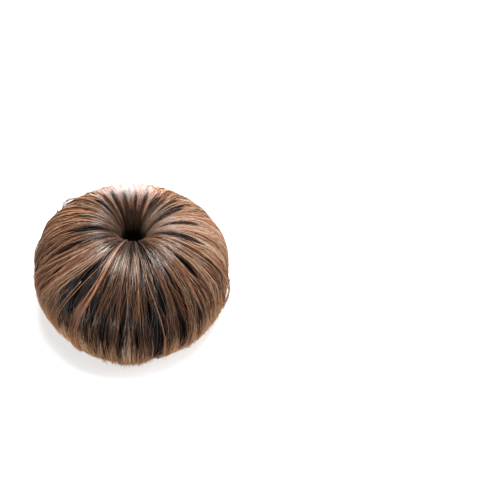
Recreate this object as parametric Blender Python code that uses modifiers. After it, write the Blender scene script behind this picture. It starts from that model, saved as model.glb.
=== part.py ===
"""Top knot hairpiece: a hollow dome of straight hair with a dimpled crown.

Locks run out of the dimple, over the crown and down to a rim that is tucked under.
A round cap closes the hollow from below and a plain comb lies in the recess under it.
Units are metres, +Z is up and the rim rests on Z = 0.
"""
import math
import random

import bmesh
import bpy
from mathutils import Vector

MM = 0.001
GAP = 0.3 * MM

# Outer form of the hair: crown ring, widest ring and resting ring
HEIGHT = 52.6 * MM
CROWN_RADIUS = 16.0 * MM
WIDEST_RADIUS = 48.2 * MM
WIDEST_HEIGHT = 23.0 * MM
REST_OUTER_RADIUS = 40.0 * MM
REST_INNER_RADIUS = 36.5 * MM
UPPER_POWER = 1.85
LOWER_POWER = 1.9
CROWN_END = 0.20
SIDE_END = 0.65

# Dimple that sinks from the crown ring to the cap
LIP_RADIUS = 6.6 * MM
LIP_HEIGHT = 48.0 * MM
THROAT_RADIUS = 4.6 * MM
THROAT_HEIGHT = 39.0 * MM
THROAT_WALL = 3.0 * MM

# Wall of the hair and the land inside the rim that holds the cap
WALL = 4.0 * MM
LAND_RADIUS = 35.0 * MM
LAND_BOTTOM = 2.0 * MM
LAND_TOP = 7.5 * MM
INNER_STATIONS = (0.78, 0.66, 0.54, 0.43, 0.34, 0.27)
OUTER_POINTS = 19
TURN_STEPS = 48

# Locks, each a lens-shaped strip half sunk in the wall
LOCK_COUNT = 27
LOCK_STATIONS = 13
LOCK_START = 0.03
LOCK_END = 0.90
LOCK_SPREAD = 1.34
LOCK_RISE = 1.75 * MM
LOCK_RISE_VARIATION = 0.75 * MM
LOCK_SINK = 1.3 * MM
LOCK_JITTER = math.radians(2.6)
LOCK_DRIFT = math.radians(6.0)
LOCK_BEND = math.radians(1.3)
LOCK_SEED = 11

# Lens section of a lock: side in half widths, height in rises above the wall or sinks below it
LOCK_SECTION = [
    {"side": -1.0, "height": -0.5},
    {"side": -0.62, "height": 0.55},
    {"side": 0.0, "height": 1.0},
    {"side": 0.62, "height": 0.55},
    {"side": 1.0, "height": -0.5},
    {"side": 0.5, "height": -1.0},
    {"side": -0.5, "height": -1.0},
]

# Locks that lie over the others at a slant
CROSSING_LOCKS = [
    {"azimuth": math.radians(-112.0), "drift": math.radians(-17.0), "spread": 0.62},
    {"azimuth": math.radians(-55.0), "drift": math.radians(12.0), "spread": 0.55},
    {"azimuth": math.radians(8.0), "drift": math.radians(-11.0), "spread": 0.60},
    {"azimuth": math.radians(95.0), "drift": math.radians(13.0), "spread": 0.55},
    {"azimuth": math.radians(171.0), "drift": math.radians(-12.0), "spread": 0.62},
]
CROSSING_RISE = 2.3 * MM

# Round cap under the hollow
CAP_RADIUS = LAND_RADIUS - GAP
CAP_BOTTOM = 4.6 * MM
CAP_THICKNESS = 1.6 * MM
HEM_WIDTH = 3.2 * MM
HEM_RISE = 0.7 * MM

# Comb lying under the cap
COMB_LENGTH = 42.0 * MM
COMB_BACK_DEPTH = 6.0 * MM
TOOTH_COUNT = 9
TOOTH_LENGTH = 24.0 * MM
TOOTH_WIDTH = 2.2 * MM
TOOTH_TIP_WIDTH = 1.2 * MM
COMB_THICKNESS = 2.4 * MM
COMB_EDGE = 0.35 * MM
COMB_BACK_Y = 9.0 * MM


def clear_scene():
    for item in list(bpy.data.objects):
        bpy.data.objects.remove(item, do_unlink=True)


def new_collection(name):
    group = bpy.data.collections.new(name)
    bpy.context.scene.collection.children.link(group)
    return group


def principled(name, colour, roughness, metallic=0.0):
    material = bpy.data.materials.new(name)
    material.use_nodes = True
    shader = material.node_tree.nodes["Principled BSDF"]
    shader.inputs["Base Color"].default_value = (*colour, 1.0)
    shader.inputs["Roughness"].default_value = roughness
    shader.inputs["Metallic"].default_value = metallic
    return material


def object_from_mesh(name, mesh, group, material=None):
    item = bpy.data.objects.new(name, mesh)
    group.objects.link(item)
    if material is not None:
        mesh.materials.append(material)
    return item


def outer_point(t):
    """Outer form from the lip of the dimple (t = 0) to the resting ring (t = 1)."""
    quarter = math.pi / 2.0
    if t < CROWN_END:
        turn = (1.0 - t / CROWN_END) * quarter
        radius = CROWN_RADIUS - (CROWN_RADIUS - LIP_RADIUS) * math.sin(turn)
        height = HEIGHT - (HEIGHT - LIP_HEIGHT) * (1.0 - math.cos(turn))
    elif t < SIDE_END:
        turn = (t - CROWN_END) / (SIDE_END - CROWN_END) * quarter
        radius = CROWN_RADIUS + (WIDEST_RADIUS - CROWN_RADIUS) * math.sin(turn) ** (2.0 / UPPER_POWER)
        height = WIDEST_HEIGHT + (HEIGHT - WIDEST_HEIGHT) * math.cos(turn) ** (2.0 / UPPER_POWER)
    else:
        turn = (t - SIDE_END) / (1.0 - SIDE_END) * quarter
        reach = math.cos(turn) ** (2.0 / LOWER_POWER)
        radius = REST_OUTER_RADIUS + (WIDEST_RADIUS - REST_OUTER_RADIUS) * reach
        height = WIDEST_HEIGHT * (1.0 - math.sin(turn) ** (2.0 / LOWER_POWER))
    return radius, height


def outer_normal(t):
    step = 0.004
    r0, z0 = outer_point(max(t - step, 0.0))
    r1, z1 = outer_point(min(t + step, 1.0))
    length = math.hypot(r1 - r0, z1 - z0)
    return -(z1 - z0) / length, (r1 - r0) / length


def turned(name, profile, group, material):
    """Turns a closed (radius, height) profile about the Z axis."""
    shape = bmesh.new()
    verts = [shape.verts.new((radius, 0.0, height)) for radius, height in profile]
    for index, vert in enumerate(verts):
        following = verts[(index + 1) % len(verts)]
        if vert.co.x > 0.0 or following.co.x > 0.0:
            shape.edges.new((vert, following))
    mesh = bpy.data.meshes.new(name)
    shape.to_mesh(mesh)
    shape.free()
    item = object_from_mesh(name, mesh, group, material)
    screw = item.modifiers.new("turn", 'SCREW')
    screw.axis = 'Z'
    screw.steps = TURN_STEPS
    screw.render_steps = TURN_STEPS
    screw.use_merge_vertices = True
    screw.merge_threshold = 0.00001
    return item


def wall_profile():
    """Section of the hair: outer form, resting ring, land, inner side and the dimple's wall."""
    profile = []
    for index in range(OUTER_POINTS):
        profile.append(outer_point(index / (OUTER_POINTS - 1)))
    profile.append((REST_INNER_RADIUS, 0.0))
    profile.append(((LAND_RADIUS + REST_INNER_RADIUS) / 2.0 - 0.35 * MM, LAND_BOTTOM * 0.6))
    profile.append((LAND_RADIUS, LAND_BOTTOM))
    profile.append((LAND_RADIUS, LAND_TOP))
    for t in INNER_STATIONS:
        radius, height = outer_point(t)
        across, up = outer_normal(t)
        profile.append((radius - across * WALL, height - up * WALL))
    throat_outer = THROAT_RADIUS + THROAT_WALL
    throat_end = CAP_BOTTOM + CAP_THICKNESS + GAP
    profile.append((throat_outer + 4.0 * MM, HEIGHT - 6.5 * MM))
    profile.append((throat_outer + 0.6 * MM, THROAT_HEIGHT))
    profile.append((throat_outer, throat_end))
    profile.append((THROAT_RADIUS, throat_end))
    profile.append((THROAT_RADIUS, THROAT_HEIGHT))
    profile.append((THROAT_RADIUS + 0.6 * MM, (THROAT_HEIGHT + LIP_HEIGHT) / 2.0))
    return profile


def lock_mesh(azimuth, drift, spread, rise, bend):
    """A strip of hair that follows the outer form, widest at the side and pointed at both ends."""
    spacing = 2.0 * math.pi / LOCK_COUNT
    shape = bmesh.new()
    rings = []
    for station in range(LOCK_STATIONS):
        s = station / (LOCK_STATIONS - 1)
        t = LOCK_START + (LOCK_END - LOCK_START) * s
        radius, height = outer_point(t)
        across, up = outer_normal(t)
        angle = azimuth + drift * (s - 0.45) + bend * math.sin(s * math.pi * 2.0)
        taper = math.sin(math.pi * (0.10 + 0.86 * s)) ** 0.45
        half_width = spread * spacing * radius * 0.5 * taper
        top = rise * taper * (0.55 + 0.45 * min(radius / WIDEST_RADIUS * 1.3, 1.0))
        outward = Vector((across * math.cos(angle), across * math.sin(angle), up))
        sideways = Vector((-math.sin(angle), math.cos(angle), 0.0))
        centre = Vector((radius * math.cos(angle), radius * math.sin(angle), height))
        ring = []
        for row in LOCK_SECTION:
            reach = top if row["height"] > 0.0 else LOCK_SINK
            point = centre + sideways * half_width * row["side"] + outward * reach * row["height"]
            ring.append(shape.verts.new(point))
        rings.append(ring)
    for first, second in zip(rings, rings[1:]):
        for index in range(len(first)):
            following = (index + 1) % len(first)
            shape.faces.new((first[index], first[following], second[following], second[index]))
    shape.faces.new(reversed(rings[0]))
    shape.faces.new(rings[-1])
    bmesh.ops.recalc_face_normals(shape, faces=shape.faces)
    mesh = bpy.data.meshes.new("lock")
    shape.to_mesh(mesh)
    shape.free()
    return mesh


def add_locks(group):
    chance = random.Random(LOCK_SEED)
    spacing = 2.0 * math.pi / LOCK_COUNT
    for index in range(LOCK_COUNT):
        azimuth = index * spacing + chance.uniform(-LOCK_JITTER, LOCK_JITTER)
        drift = chance.uniform(-LOCK_DRIFT, LOCK_DRIFT)
        rise = LOCK_RISE + chance.uniform(-1.0, 1.0) * LOCK_RISE_VARIATION
        spread = LOCK_SPREAD * chance.uniform(0.86, 1.1)
        bend = chance.uniform(-1.0, 1.0) * LOCK_BEND
        object_from_mesh("lock_guide", lock_mesh(azimuth, drift, spread, rise, bend), group)
    for row in CROSSING_LOCKS:
        mesh = lock_mesh(row["azimuth"], row["drift"], row["spread"], CROSSING_RISE, 0.0)
        object_from_mesh("crossing_lock_guide", mesh, group)
    for item in group.objects:
        item.hide_render = True
        item.display_type = 'WIRE'


def build_bun(parts, guides, material):
    bun = turned("hair_bun", wall_profile(), parts, material)
    add_locks(guides)
    union = bun.modifiers.new("fuse_locks", 'BOOLEAN')
    union.operation = 'UNION'
    union.operand_type = 'COLLECTION'
    union.collection = guides
    union.solver = 'EXACT'
    return bun


def build_cap(parts, material):
    top = CAP_BOTTOM + CAP_THICKNESS
    profile = [
        (0.0, top),
        (CAP_RADIUS - HEM_WIDTH - 0.8 * MM, top),
        (CAP_RADIUS - HEM_WIDTH, top + HEM_RISE),
        (CAP_RADIUS - 0.6 * MM, top + HEM_RISE),
        (CAP_RADIUS, top + HEM_RISE - 0.6 * MM),
        (CAP_RADIUS, CAP_BOTTOM + 0.5 * MM),
        (CAP_RADIUS - 0.5 * MM, CAP_BOTTOM),
        (0.0, CAP_BOTTOM),
    ]
    return turned("base_cap", profile, parts, material)


def comb_outline():
    """Outline of the comb seen from above, back first and then tooth by tooth."""
    half = COMB_LENGTH / 2.0
    pitch = (COMB_LENGTH - TOOTH_WIDTH) / (TOOTH_COUNT - 1)
    outline = [(half, 0.0), (half, COMB_BACK_DEPTH), (-half, COMB_BACK_DEPTH), (-half, 0.0)]
    for tooth in range(TOOTH_COUNT):
        middle = -half + TOOTH_WIDTH / 2.0 + tooth * pitch
        root = TOOTH_WIDTH / 2.0
        tip = TOOTH_TIP_WIDTH / 2.0
        if tooth > 0:
            outline.append((middle - root, 0.0))
        outline.append((middle - tip, -TOOTH_LENGTH))
        outline.append((middle + tip, -TOOTH_LENGTH))
        if tooth < TOOTH_COUNT - 1:
            outline.append((middle + root, 0.0))
    return outline


def build_comb(parts, material):
    curve = bpy.data.curves.new("comb_outline", 'CURVE')
    curve.dimensions = '2D'
    curve.fill_mode = 'BOTH'
    curve.extrude = COMB_THICKNESS / 2.0
    spline = curve.splines.new('POLY')
    outline = comb_outline()
    spline.points.add(len(outline) - 1)
    for point, (x, y) in zip(spline.points, outline):
        point.co = (x, y, 0.0, 1.0)
    spline.use_cyclic_u = True
    flat = bpy.data.objects.new("comb_outline", curve)
    parts.objects.link(flat)
    bpy.context.view_layer.update()
    evaluated = flat.evaluated_get(bpy.context.evaluated_depsgraph_get())
    mesh = bpy.data.meshes.new_from_object(evaluated)
    shape = bmesh.new()
    shape.from_mesh(mesh)
    bmesh.ops.remove_doubles(shape, verts=shape.verts, dist=0.000005)
    bmesh.ops.recalc_face_normals(shape, faces=shape.faces)
    shape.to_mesh(mesh)
    shape.free()
    mesh.materials.clear()
    bpy.data.objects.remove(flat, do_unlink=True)
    comb = object_from_mesh("comb", mesh, parts, material)
    bevel = comb.modifiers.new("soft_edges", 'BEVEL')
    bevel.width = COMB_EDGE
    bevel.segments = 1
    bevel.limit_method = 'ANGLE'
    comb.location = (0.0, COMB_BACK_Y, CAP_BOTTOM - GAP - COMB_THICKNESS / 2.0)
    return comb


def centre_on_axis(bun, holder):
    """Moves the whole hairpiece so that the hair's box is centred over the origin."""
    bpy.context.view_layer.update()
    evaluated = bun.evaluated_get(bpy.context.evaluated_depsgraph_get())
    corners = [Vector(corner) for corner in evaluated.bound_box]
    middle_x = (min(c.x for c in corners) + max(c.x for c in corners)) / 2.0
    middle_y = (min(c.y for c in corners) + max(c.y for c in corners)) / 2.0
    holder.location = (-middle_x, -middle_y, 0.0)


def main():
    clear_scene()
    parts = new_collection("top_knot_hairpiece")
    lock_guides = new_collection("lock_guides")
    hair = principled("brown_hair", (0.105, 0.052, 0.028), 0.38)
    net = principled("cap_net", (0.035, 0.020, 0.014), 0.85)
    plastic = principled("comb_plastic", (0.030, 0.018, 0.013), 0.42)

    holder = bpy.data.objects.new("hairpiece_holder", None)
    parts.objects.link(holder)
    bun = build_bun(parts, lock_guides, hair)
    cap = build_cap(parts, net)
    comb = build_comb(parts, plastic)
    for item in (bun, cap, comb):
        item.parent = holder
    for item in lock_guides.objects:
        item.parent = holder
    centre_on_axis(bun, holder)


main()
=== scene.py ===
"""Dresses the top knot hairpiece: strands of straight hair over a dark core, a net cap and a comb.

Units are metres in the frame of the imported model: +Z up, the rim rests on Z = 0, -Y faces the camera.
Lengths along the hair's section are arc lengths from the crown ring: negative into the dimple,
positive down the side. Azimuths are 0 at the right, 90 degrees behind, 180 at the left and -90 in front.
"""

import math

import bpy
import numpy as np
from mathutils import Matrix, Vector


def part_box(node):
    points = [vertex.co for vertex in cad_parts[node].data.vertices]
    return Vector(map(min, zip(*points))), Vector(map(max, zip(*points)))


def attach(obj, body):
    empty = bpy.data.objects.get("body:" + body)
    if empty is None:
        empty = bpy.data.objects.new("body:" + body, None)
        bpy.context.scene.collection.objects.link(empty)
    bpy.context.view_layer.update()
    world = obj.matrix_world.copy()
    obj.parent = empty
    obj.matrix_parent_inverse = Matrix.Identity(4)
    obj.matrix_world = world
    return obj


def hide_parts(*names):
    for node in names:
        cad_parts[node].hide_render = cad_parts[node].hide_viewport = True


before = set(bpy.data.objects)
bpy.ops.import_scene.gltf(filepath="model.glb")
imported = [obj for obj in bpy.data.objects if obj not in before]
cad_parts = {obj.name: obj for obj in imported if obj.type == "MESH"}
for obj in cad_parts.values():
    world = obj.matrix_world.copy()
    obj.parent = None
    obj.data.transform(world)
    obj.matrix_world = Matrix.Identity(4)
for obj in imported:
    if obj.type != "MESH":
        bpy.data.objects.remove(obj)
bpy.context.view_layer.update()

MM = 0.001
IMAGE_PIXELS = 500


def table(columns, *rows):
    """Rows of values under named columns."""
    return [dict(zip(columns.split(), row)) for row in rows]


# Section of the finished hair
HEIGHT = 53.8 * MM
CROWN_RADIUS = 14.5 * MM
WIDEST_RADIUS = 49.4 * MM
WIDEST_HEIGHT = 23.8 * MM
REST_RADIUS = 39.5 * MM
REST_HEIGHT = 0.4 * MM
TUCK_RADIUS = 35.5 * MM
TUCK_HEIGHT = 0.6 * MM
LIP_RADIUS = 4.4 * MM
LIP_HEIGHT = 48.0 * MM
THROAT_RADIUS = 3.4 * MM
THROAT_HEIGHT = 38.0 * MM
THROAT_END = 8.0 * MM
UPPER_POWER = 1.85
LOWER_POWER = 1.9

# The dimple opens towards the back: its own crown, lip and throat there, and where the two sections meet
BACK_CROWN_RADIUS = 23.0 * MM
BACK_CROWN_HEIGHT = 52.2 * MM
BACK_LIP_RADIUS = 7.2 * MM
BACK_LIP_HEIGHT = 41.0 * MM
BACK_THROAT_RADIUS = 4.6 * MM
BACK_THROAT_HEIGHT = BACK_LIP_HEIGHT - 8.0 * MM
BACK_JOIN = 24.0 * MM
BACK_BLEND = 4.0 * MM
BACK_POWER = 1.25

# Spacing of the section's points, and how many of them are averaged to round it
SECTION_STEP = 0.25 * MM
SMOOTHING = 15

# Where the crown is lower: degrees and mm
CROWN_DIPS = table(
    "azimuth width depth",
    (92.0, 25.0, 1.6),
    (58.0, 15.0, 2.0))
CROWN_DIP_MIDDLE = 6.0 * MM
CROWN_DIP_REACH = 17.0 * MM

# The axis of the hair, from the box of the cap that sits under its middle
cap_low, cap_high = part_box("base_cap")
AXIS_X = (cap_low[0] + cap_high[0]) / 2.0
AXIS_Y = (cap_low[1] + cap_high[1]) / 2.0

# Camera: lens and sensor in mm, the point looked at and where it falls in the picture
LENS = 85.0
SENSOR = 36.0
ELEVATION = math.radians(50.5)
TARGET = Vector((0.0, 0.0, 25.0 * MM))
TARGET_PIXEL = (134.4, 265.6)
PIXELS_PER_METRE = 1950.0

# Places where the hair parts and the dark inside shows: azimuth and half width in degrees,
# middle and reach along the section in mm
PARTINGS = table(
    "azimuth width middle reach",
    (-130.0, 6.2, 23.0, 13.0),
    (-70.0, 3.6, 27.0, 11.0),
    (-74.5, 4.8, 44.0, 12.0),
    (-75.5, 3.0, 62.0, 10.0),
    (-104.0, 2.0, 44.0, 16.0),
    (-113.0, 2.2, 52.0, 16.0),
    (-88.0, 1.6, 44.0, 14.0),
    (-96.0, 1.5, 32.0, 12.0),
    (-80.0, 1.8, 30.0, 12.0),
    (-146.0, 2.6, 20.0, 10.0),
    (-56.0, 2.4, 30.0, 16.0),
    (-48.0, 2.4, 56.0, 14.0),
    (-36.0, 2.6, 60.0, 12.0),
    (-36.0, 3.0, 18.0, 12.0),
    (-9.0, 4.4, 8.0, 13.0),
    (12.0, 3.2, 8.0, 12.0),
    (38.0, 3.2, 8.0, 12.0),
    (66.0, 2.4, 2.0, 12.0),
    (80.0, 2.4, 0.0, 11.0),
    (96.0, 2.6, 0.0, 11.0),
    (110.0, 2.6, 4.0, 12.0),
    (130.0, 3.4, 3.0, 11.0),
    (148.0, 2.2, 14.0, 12.0),
    (177.0, 4.8, 3.0, 13.0),
    (-166.0, 2.8, 18.0, 10.0),
    (-162.0, 3.2, 34.0, 12.0),
    (-14.0, 3.2, 47.0, 9.0))

# Locks and loose strands that stand out. Angles in degrees, lengths in mm. Spacing is that of their clumps,
# loft is how far the middle of a strand stands off, and bridging ones span the dent. The ones with a place
# to begin start that far down the side instead of in the dimple.
ACCENTS = table(
    "azimuth drift width spacing lift loft shade thick bridging begin",
    (-118.8, -5.8, 1.9, 0.4, 1.3, 0.3, 0.58, 0.15, 0.0, None),
    (-115.0, -12.0, 0.8, 1.4, 1.0, 0.4, 0.44, 0.12, 0.0, None),
    (-121.0, -20.0, 0.5, 2.0, 1.0, 0.5, 0.7, 0.12, 0.0, None),
    (-128.0, -16.0, 5.0, 1.8, 0.5, 0.4, 0.66, 0.12, 0.0, 32.0),
    (-134.0, -22.0, 6.0, 2.6, 0.8, 0.6, 0.78, 0.09, 0.0, 12.0),
    (-146.0, -20.0, 8.0, 2.4, 0.8, 0.6, 0.76, 0.09, 0.0, 8.0),
    (-140.0, -14.0, 5.0, 1.3, 0.8, 0.5, 0.64, 0.12, 0.0, 14.0),
    (-153.0, -12.0, 7.0, 1.8, 0.6, 0.5, 0.6, 0.12, 0.0, 10.0),
    (-66.0, 1.0, 1.8, 0.6, 0.4, 0.2, 0.44, 0.12, 0.0, None),
    (-84.0, -3.0, 0.8, 0.8, 0.5, 0.2, 0.46, 0.12, 0.0, None),
    (-99.0, -3.0, 0.8, 0.8, 0.5, 0.2, 0.46, 0.12, 0.0, None),
    (-108.0, -5.0, 0.8, 0.8, 0.5, 0.2, 0.46, 0.12, 0.0, None),
    (-80.0, 8.0, 2.0, 3.0, 0.7, 0.4, 0.56, 0.12, 0.0, None),
    (-19.0, 1.0, 1.4, 0.5, 1.2, 1.4, 0.56, 0.16, 1.0, None),
    (-20.0, 8.0, 2.0, 1.4, 0.6, 1.2, 0.66, 0.12, 0.0, None),
    (136.0, 4.0, 1.6, 0.9, 1.2, 1.8, 0.56, 0.15, 0.0, None),
    (40.0, -5.0, 1.5, 1.4, 0.4, 0.8, 0.68, 0.12, 0.0, None))

# Shallow dent in the right side, which loose loops span: degrees and mm
DENT = {"azimuth": -16.0, "width": 17.0, "middle": 49.0, "reach": 8.0, "depth": 3.0}

# How far the foot of the hair stands out or is tucked in: degrees and mm
FEET = table(
    "azimuth width out",
    (-95.0, 15.0, 2.0),
    (-66.0, 10.0, -2.4),
    (-76.5, 2.6, -2.6),
    (-35.0, 12.0, -1.0),
    (-138.0, 12.0, -0.8))
FOOT_REACH = 13.0 * MM

# Painted shade in partings, in gaps between locks and down the dimple, where the hair is painted as dark as
# at its root: degrees, and arc length and reach in mm
PAINTED_SHADE_PATCHES = table(
    "azimuth width arc reach amount",
    (-129.0, 6.2, 22.0, 8.0, 1.8),
    (-135.0, 6.0, 34.0, 10.0, 1.6),
    (-146.0, 3.0, 38.0, 9.0, 0.9),
    (-116.0, 2.2, 34.0, 11.0, 1.0),
    (-108.0, 2.4, 42.0, 12.0, 1.1),
    (-102.0, 1.5, 31.0, 9.0, 0.9),
    (-97.0, 1.8, 46.0, 12.0, 1.1),
    (-92.0, 1.4, 33.0, 9.0, 0.9),
    (-87.0, 1.8, 44.0, 12.0, 1.1),
    (-79.0, 1.8, 34.0, 10.0, 1.0),
    (-68.0, 1.6, 4.0, 7.0, 0.9),
    (-93.0, 1.3, 4.0, 6.0, 0.8),
    (-107.0, 1.3, 5.0, 6.0, 0.8),
    (-113.0, 1.6, 24.0, 7.0, 0.8),
    (-99.0, 1.4, 22.0, 6.0, 0.7),
    (-81.0, 2.2, 6.0, 7.0, 1.0),
    (-70.0, 2.6, 27.0, 9.0, 1.3),
    (-74.5, 3.6, 42.0, 11.0, 1.8),
    (-75.5, 2.4, 60.0, 9.0, 1.4),
    (-65.0, 1.6, 36.0, 9.0, 0.8),
    (-59.0, 1.8, 47.0, 11.0, 1.0),
    (-47.0, 1.8, 44.0, 11.0, 0.8),
    (-36.0, 2.2, 18.0, 9.0, 1.0),
    (-8.5, 3.4, 6.0, 11.0, 1.5),
    (12.0, 2.4, 9.0, 10.0, 1.3),
    (34.0, 2.2, 3.0, 10.0, 1.1),
    (48.0, 2.2, 8.0, 10.0, 1.2),
    (41.0, 1.4, 4.0, 9.0, 0.9),
    (56.0, 1.6, 4.0, 9.0, 1.0),
    (62.0, 2.2, 1.0, 9.0, 1.1),
    (75.0, 2.0, -3.0, 9.0, 0.9),
    (87.0, 1.5, -5.0, 9.0, 0.9),
    (100.0, 1.6, -4.0, 9.0, 0.9),
    (112.0, 2.2, 0.0, 9.0, 1.0),
    (121.0, 1.6, 2.0, 9.0, 0.9),
    (131.0, 2.6, 2.0, 10.0, 1.3),
    (87.0, 15.0, -19.5, 6.5, 2.0),
    (158.0, 1.8, 12.0, 9.0, 0.8),
    (177.5, 4.0, 3.0, 10.0, 1.6),
    (-166.0, 2.2, 18.0, 9.0, 1.0),
    (-155.0, 1.8, 27.0, 9.0, 0.9))

# Broad raised locks: three on each side of the back of the dimple, and one at the right front. Angles in
# degrees, lift and crown in mm.
SHOULDERS = table(
    "azimuth drift width lift lens shade",
    (50.0, -6.0, 7.0, 0.3, 1.6, 0.52),
    (24.0, -5.0, 6.0, 0.4, 1.5, 0.62),
    (2.0, -4.0, 3.6, 0.7, 1.4, 0.64),
    (134.0, 4.0, 6.0, 1.0, 1.8, 0.56),
    (150.0, 6.0, 7.0, 1.7, 1.8, 0.6),
    (165.0, 6.0, 5.0, 1.0, 1.5, 0.56),
    (-24.0, 5.0, 7.0, 0.6, 1.6, 0.5))

# Studio: lengths in metres, power in watts
FLOOR_SIZE = 6.0
WALL_RADIUS = 2.9
WALL_HEIGHT = 0.9
AIR_COLOUR = (0.97, 0.98, 1.0, 1.0)
AIR_STRENGTH = 0.24
LAMPS = table(
    "name location target size power colour",
    ("overhead", (0.08, 0.20, 0.80), (0.0, 0.0, 0.02), (0.50, 0.36), 21.5, (1.0, 0.985, 0.975)),
    ("front_top", (0.10, -0.10, 0.75), (0.0, 0.0, 0.04), (0.30, 0.16), 1.3, (0.88, 0.93, 1.0)),
    ("back_wash", (0.05, 0.80, 0.62), (0.0, 0.0, 0.03), (0.5, 0.3), 3.8, (0.96, 0.96, 1.0)),
    ("front_fill", (-0.35, -0.85, 0.10), (0.0, 0.0, 0.0), (0.8, 0.2), 4.2, (1.0, 0.98, 0.96)),
    ("right_fill", (0.80, 0.05, 0.42), (0.0, 0.0, 0.03), (0.4, 0.4), 5.0, (1.0, 0.98, 0.95)))

chance = np.random.default_rng(20)


def collection(name):
    group = bpy.data.collections.new(name)
    bpy.context.scene.collection.children.link(group)
    return group


pieces = collection("hairpiece_visual")
studio = collection("studio")


def polyline_section(points, crown):
    """Even points along a section, with arc lengths from its crown point, and the outward normals."""
    points = np.array(points)
    steps = np.hypot(*np.diff(points, axis=0).T)
    arc = np.concatenate(([0.0], np.cumsum(steps)))
    arc -= arc[crown]
    even = np.arange(arc[0], arc[-1], SECTION_STEP)
    radius = np.interp(even, arc, points[:, 0])
    height = np.interp(even, arc, points[:, 1])
    kernel = np.ones(SMOOTHING) / SMOOTHING
    for values in (radius, height):
        padded = np.pad(values, SMOOTHING // 2, mode="edge")
        values[:] = np.convolve(padded, kernel, mode="valid")
    slope_r = np.gradient(radius, even)
    slope_z = np.gradient(height, even)
    size = np.hypot(slope_r, slope_z)
    return even, radius, height, -slope_z / size, slope_r / size


def inside_points(crown_radius, crown_height, lip_radius, lip_height, throat_radius, throat_height):
    """Section of the dimple from the foot of the throat up to the crown."""
    points = [(throat_radius, height) for height in np.linspace(THROAT_END, throat_height, 12)]
    for share in np.linspace(0.0, 1.0, 10)[1:-1]:
        points.append((throat_radius + (lip_radius - throat_radius) * share ** 2,
                       throat_height + (lip_height - throat_height) * share))
    for turn in np.linspace(math.pi / 2.0, 0.0, 60):
        points.append((crown_radius - (crown_radius - lip_radius) * math.sin(turn),
                       crown_height - (crown_height - lip_height) * (1.0 - math.cos(turn))))
    return points


def front_section():
    """Finished section in front, from the foot of the throat to the tuck under the rim."""
    quarter = np.linspace(0.0, math.pi / 2.0, 60)
    points = inside_points(CROWN_RADIUS, HEIGHT, LIP_RADIUS, LIP_HEIGHT, THROAT_RADIUS, THROAT_HEIGHT)
    crown = len(points) - 1
    for turn in quarter[1:]:
        out = math.sin(turn) ** (2.0 / UPPER_POWER)
        up = math.cos(turn) ** (2.0 / UPPER_POWER)
        points.append((CROWN_RADIUS + (WIDEST_RADIUS - CROWN_RADIUS) * out,
                       WIDEST_HEIGHT + (HEIGHT - WIDEST_HEIGHT) * up))
    for turn in quarter[1:]:
        out = math.cos(turn) ** (2.0 / LOWER_POWER)
        down = math.sin(turn) ** (2.0 / LOWER_POWER)
        points.append((REST_RADIUS + (WIDEST_RADIUS - REST_RADIUS) * out,
                       WIDEST_HEIGHT * (1.0 - down) + REST_HEIGHT))
    points.append((TUCK_RADIUS, TUCK_HEIGHT))
    return polyline_section(points, crown)


FRONT = front_section()
ARC_START = FRONT[0][0]
ARC_END = FRONT[0][-1]


def back_section():
    """Section behind the dimple at the arc lengths of the front one: wider crown, the same side."""
    join_radius = np.interp(BACK_JOIN, FRONT[0], FRONT[1])
    join_height = np.interp(BACK_JOIN, FRONT[0], FRONT[2])
    join_slope = (np.interp(BACK_JOIN + MM, FRONT[0], FRONT[2]) - join_height) / (
        np.interp(BACK_JOIN + MM, FRONT[0], FRONT[1]) - join_radius)
    points = inside_points(BACK_CROWN_RADIUS, BACK_CROWN_HEIGHT, BACK_LIP_RADIUS, BACK_LIP_HEIGHT,
                           BACK_THROAT_RADIUS, BACK_THROAT_HEIGHT)
    crown = len(points) - 1
    for share in np.linspace(0.0, 1.0, 20)[1:]:
        radius = BACK_CROWN_RADIUS + (join_radius - BACK_CROWN_RADIUS) * share
        drop = join_height - BACK_CROWN_HEIGHT
        run = join_radius - BACK_CROWN_RADIUS
        height = (BACK_CROWN_HEIGHT + drop * (3.0 * share ** 2 - 2.0 * share ** 3)
                  + join_slope * run * (share ** 3 - share ** 2))
        points.append((radius, height))
    back = polyline_section(points, crown)
    place = np.where(FRONT[0] < 0.0, FRONT[0] / ARC_START * back[0][0], FRONT[0] / BACK_JOIN * back[0][-1])
    beyond = smooth_step(FRONT[0], BACK_JOIN - BACK_BLEND, BACK_JOIN)
    rows = [np.interp(place, back[0], row) for row in back[1:]]
    return [FRONT[0]] + [row * (1.0 - beyond) + own * beyond for row, own in zip(rows, FRONT[1:])]


def smooth_step(values, low, high):
    share = np.clip((values - low) / (high - low), 0.0, 1.0)
    return share * share * (3.0 - 2.0 * share)


BACK = back_section()


def section(arc, angle, dented=1.0):
    """Radius, height and normal of the finished surface at an arc length and an azimuth."""
    share = (0.5 + 0.5 * np.sin(angle)) ** BACK_POWER
    rows = [np.interp(arc, FRONT[0], own) * (1.0 - share) + np.interp(arc, BACK[0], other) * share
            for own, other in zip(FRONT[1:], BACK[1:])]
    radius, height, across, up = rows
    size = np.hypot(across, up)
    across = across / size
    up = up / size
    for row in CROWN_DIPS:
        dip = hollow(angle, arc, row["azimuth"], row["width"], CROWN_DIP_MIDDLE, CROWN_DIP_REACH)
        height = height - dip * row["depth"] * MM
    dent = hollow(angle, arc, DENT["azimuth"], DENT["width"], DENT["middle"] * MM, DENT["reach"] * MM)
    dent = dent * DENT["depth"] * MM * dented
    radius = radius - across * dent
    for row in FEET:
        foot = hollow(angle, arc, row["azimuth"], row["width"], ARC_END, FOOT_REACH)
        radius = radius + foot * row["out"] * MM
    return radius, height - up * dent, across, up


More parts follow.
